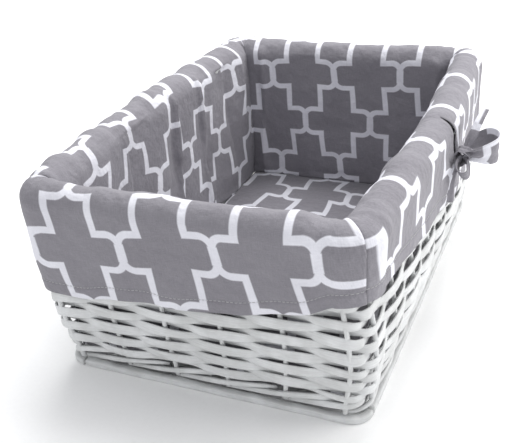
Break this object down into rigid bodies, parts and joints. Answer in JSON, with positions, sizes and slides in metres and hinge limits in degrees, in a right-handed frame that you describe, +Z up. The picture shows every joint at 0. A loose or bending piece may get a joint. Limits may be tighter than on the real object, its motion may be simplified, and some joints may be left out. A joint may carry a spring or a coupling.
{
  "type": "lined laundry basket",
  "caption": "Rectangular woven willow laundry basket with a loose patterned cotton liner that folds over the rim and is tied with a bow on each long side.",
  "frame": {"origin": "middle of the basket's foot, on the surface it stands on", "axes": "+Z up, +Y along the long walls, +X towards the long wall with the right-hand bow"},
  "size_m": [0.3348, 0.4016, 0.1628],
  "materials": {
    "willow": "white painted split willow, matt, with the grain showing faintly",
    "liner_cotton": "grey cotton, plain weave, printed with a white trellis pattern"
  },
  "bodies": {
    "basket": {"foot_rod_front": "willow", "foot_rod_right": "willow", "foot_rod_back": "willow", "foot_rod_left": "willow", "base_stick_1": "willow", "base_stick_2": "willow", "base_stick_3": "willow", "base_stick_4": "willow", "base_stick_5": "willow", "base_weave": "willow", "stakes_front": "willow", "stakes_right": "willow", "stakes_back": "willow", "stakes_left": "willow", "weaver_course_01": "willow", "weaver_course_02": "willow", "weaver_course_03": "willow", "weaver_course_04": "willow", "weaver_course_05": "willow", "weaver_course_06": "willow", "weaver_course_07": "willow", "weaver_course_08": "willow", "weaver_course_09": "willow", "weaver_course_10": "willow", "weaver_course_11": "willow", "weaver_course_12": "willow", "weaver_course_13": "willow", "weaver_course_14": "willow", "weaver_course_15": "willow", "weaver_course_16": "willow", "weaver_course_17": "willow", "weaver_course_18": "willow", "weaver_course_19": "willow", "weaver_course_20": "willow", "rim_rod_outer": "willow", "rim_rod_inner": "willow", "rim_rod_top": "willow", "rim_lashing": "willow"},
    "liner": {"liner_floor": "liner_cotton", "liner_panel_front": "liner_cotton", "liner_panel_right": "liner_cotton", "liner_panel_back": "liner_cotton", "liner_panel_left": "liner_cotton", "bow_right_knot": "liner_cotton", "bow_right_loop_back": "liner_cotton", "bow_right_loop_front": "liner_cotton", "bow_right_tail_up": "liner_cotton", "bow_right_tail_down": "liner_cotton", "bow_left_knot": "liner_cotton", "bow_left_loop_back": "liner_cotton", "bow_left_loop_front": "liner_cotton", "bow_left_tail_up": "liner_cotton", "bow_left_tail_down": "liner_cotton"}
  },
  "joints": [
    {"name": "liner_lift", "type": "slide", "parent": "basket", "child": "liner", "axis": [0, 0, 1], "range_m": [0, 0.17]}
  ]
}
